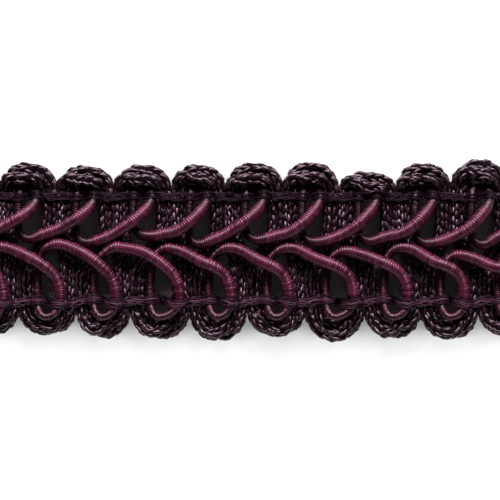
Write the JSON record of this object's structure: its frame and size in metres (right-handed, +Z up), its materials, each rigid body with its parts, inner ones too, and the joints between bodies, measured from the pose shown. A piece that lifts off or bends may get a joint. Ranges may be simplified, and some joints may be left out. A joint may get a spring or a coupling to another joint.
{
  "type": "braid trim",
  "caption": "Cut length of narrow scalloped braid trim, two knitted ground cords under looping satin-wrapped cords, for covering seams and edges.",
  "frame": {"origin": "middle of the underside, on the surface that the trim lies on", "axes": "+X along the trim, +Y across it towards the upper scalloped edge, +Z up out of the face"},
  "size_m": [0.0428, 0.0128, 0.0022],
  "materials": {
    "knitted_yarn_a": "dark plum rayon, knitted, with small glossy stitches",
    "knitted_yarn_b": "dark plum rayon, knitted, with small glossy stitches",
    "satin_wrap_upper": "wine satin thread wrapped over a core, silky sheen",
    "satin_wrap_lower": "wine satin thread wrapped over a core, silky sheen",
    "binding_threads_upper": "fine dark plum threads, slightly glossy",
    "binding_threads_lower": "fine dark plum threads, slightly glossy"
  },
  "bodies": {
    "root": {"ground_cord_a": "knitted_yarn_a", "ground_cord_b": "knitted_yarn_b", "satin_cord_upper": "satin_wrap_upper", "satin_cord_lower": "satin_wrap_lower", "binding_upper": "binding_threads_upper", "binding_lower": "binding_threads_lower"}
  },
  "joints": []
}
